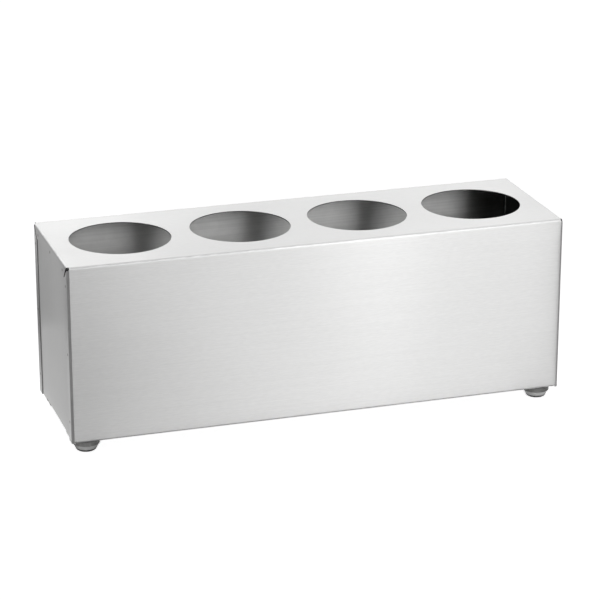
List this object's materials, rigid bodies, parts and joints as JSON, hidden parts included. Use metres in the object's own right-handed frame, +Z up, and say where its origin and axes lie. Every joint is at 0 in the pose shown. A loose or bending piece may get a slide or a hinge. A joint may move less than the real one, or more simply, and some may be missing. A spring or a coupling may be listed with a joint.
{
  "type": "cutlery holder",
  "caption": "Counter-top holder of folded brushed stainless sheet with a row of round holes in its top, in which cutlery containers hang by their rims, on round screwed-on feet.",
  "frame": {"origin": "on the floor under the feet, below the middle of the body", "axes": "+X along the length to the right as seen from the front, +Y from the front to the rear, +Z up"},
  "size_m": [0.5, 0.149, 0.19],
  "materials": {
    "steel_sheet": "fine brushed grain along the length",
    "clear_rubber": "glossy, smoky clear",
    "zinc_plate": "bright zinc plate"
  },
  "bodies": {
    "root": {"hood": "steel_sheet", "end_panel_left": "steel_sheet", "end_panel_right": "steel_sheet", "foot_front_left": "clear_rubber", "foot_front_right": "clear_rubber", "foot_rear_left": "clear_rubber", "foot_rear_right": "clear_rubber", "foot_screws": "zinc_plate", "foot_washers": "zinc_plate", "foot_lock_washers": "zinc_plate", "foot_nuts": "zinc_plate"}
  },
  "joints": []
}
